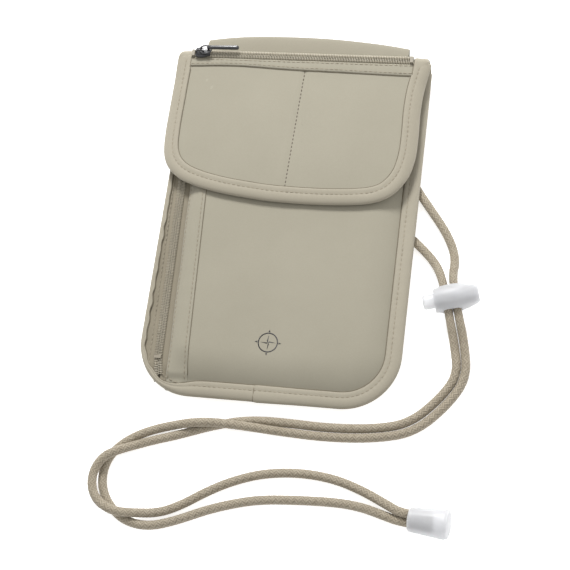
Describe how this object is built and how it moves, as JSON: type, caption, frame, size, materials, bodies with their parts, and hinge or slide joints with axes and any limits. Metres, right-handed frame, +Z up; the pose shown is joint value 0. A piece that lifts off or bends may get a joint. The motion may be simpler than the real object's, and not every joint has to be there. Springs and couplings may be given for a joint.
{
  "type": "neck pouch wallet",
  "caption": "Flat fabric neck pouch with a flap, a zip on the fold, a side zip pocket and a braided neck cord with a cord lock and an end cap.",
  "frame": {"origin": "on the surface that the pouch lies on, below the middle of the pouch without its cord", "axes": "+X to the right seen from the front, +Y along the pouch to the fold, +Z up out of the front"},
  "size_m": [0.1791, 0.2624, 0.0198],
  "materials": {
    "shell_fabric": "smooth plain weave",
    "binding_fabric": "smooth binding tape",
    "lining_fabric": "plain lining",
    "zip_tape": "woven tape",
    "zip_teeth": "nylon coil",
    "black_metal": "satin black",
    "hook_and_loop": "hook and loop",
    "cord_braid": "braided",
    "clear_plastic": "translucent, moulded",
    "spring_steel": "drawn wire"
  },
  "bodies": {
    "pouch": {"back_panel": "shell_fabric", "back_fold": "shell_fabric", "divider": "lining_fabric", "front_panel": "shell_fabric", "side_facing": "shell_fabric", "side_zip_tape_left": "zip_tape", "side_zip_tape_right": "zip_tape", "side_zip_teeth_left": "zip_teeth", "side_zip_teeth_right": "zip_teeth", "side_zip_top_stop": "zip_teeth", "side_zip_bottom_stop": "zip_teeth", "body_binding": "binding_fabric", "cord_sleeve": "shell_fabric", "loop_patch": "hook_and_loop", "cord_in_sleeve": "cord_braid", "cord_left": "cord_braid", "cord_right": "cord_braid", "cord_end_cap": "clear_plastic"},
    "flap": {"flap_lining": "lining_fabric", "flap_front": "shell_fabric", "flap_hem_band": "shell_fabric", "flap_binding": "binding_fabric", "flap_fold": "shell_fabric", "flap_zip_tape_front": "zip_tape", "flap_zip_tape_back": "zip_tape", "flap_zip_teeth_front": "zip_teeth", "flap_zip_teeth_back": "zip_teeth", "flap_zip_stop_left": "zip_teeth", "flap_zip_stop_right": "zip_teeth", "hook_patch": "hook_and_loop"},
    "flap_slider": {"flap_zip_slider": "black_metal"},
    "flap_pull": {"flap_zip_ring": "black_metal", "flap_zip_bar": "black_metal"},
    "side_slider": {"side_zip_slider": "black_metal"},
    "side_pull": {"side_zip_pull": "black_metal"},
    "cord_lock": {"cord_lock_barrel": "clear_plastic", "cord_lock_spring": "spring_steel"},
    "lock_plunger": {"cord_lock_plunger": "clear_plastic"}
  },
  "joints": [
    {"name": "flap_hinge", "type": "hinge", "parent": "pouch", "child": "flap", "pos_m": [0, 0.0882, 0.0132], "axis": [-1, 0, 0], "range_deg": [0, 180]},
    {"name": "flap_zip_slide", "type": "slide", "parent": "flap", "child": "flap_slider", "axis": [1, 0, 0], "range_m": [0, 0.1035]},
    {"name": "flap_pull_swing", "type": "hinge", "parent": "flap_slider", "child": "flap_pull", "pos_m": [-0.055, 0.0843, 0.01862], "axis": [0, -1, 0], "range_deg": [0, 178]},
    {"name": "side_zip_slide", "type": "slide", "parent": "pouch", "child": "side_slider", "axis": [0.0279, -0.9996, 0], "range_m": [0, 0.128]},
    {"name": "side_pull_swing", "type": "hinge", "parent": "side_slider", "child": "side_pull", "pos_m": [-0.05674, 0.054, 0.01132], "axis": [-0.9996, -0.0279, 0], "range_deg": [0, 5]},
    {"name": "cord_lock_slide", "type": "slide", "parent": "pouch", "child": "cord_lock", "axis": [0.2504, -0.9681, 0], "range_m": [-0.002, 0.002]},
    {"name": "lock_plunger_press", "type": "slide", "parent": "cord_lock", "child": "lock_plunger", "axis": [0.9681, 0.2504, 0], "range_m": [0, 0.0026], "stiffness_N_per_m": 800, "springref_m": -0.002, "deforming": ["cord_lock_spring"]}
  ]
}
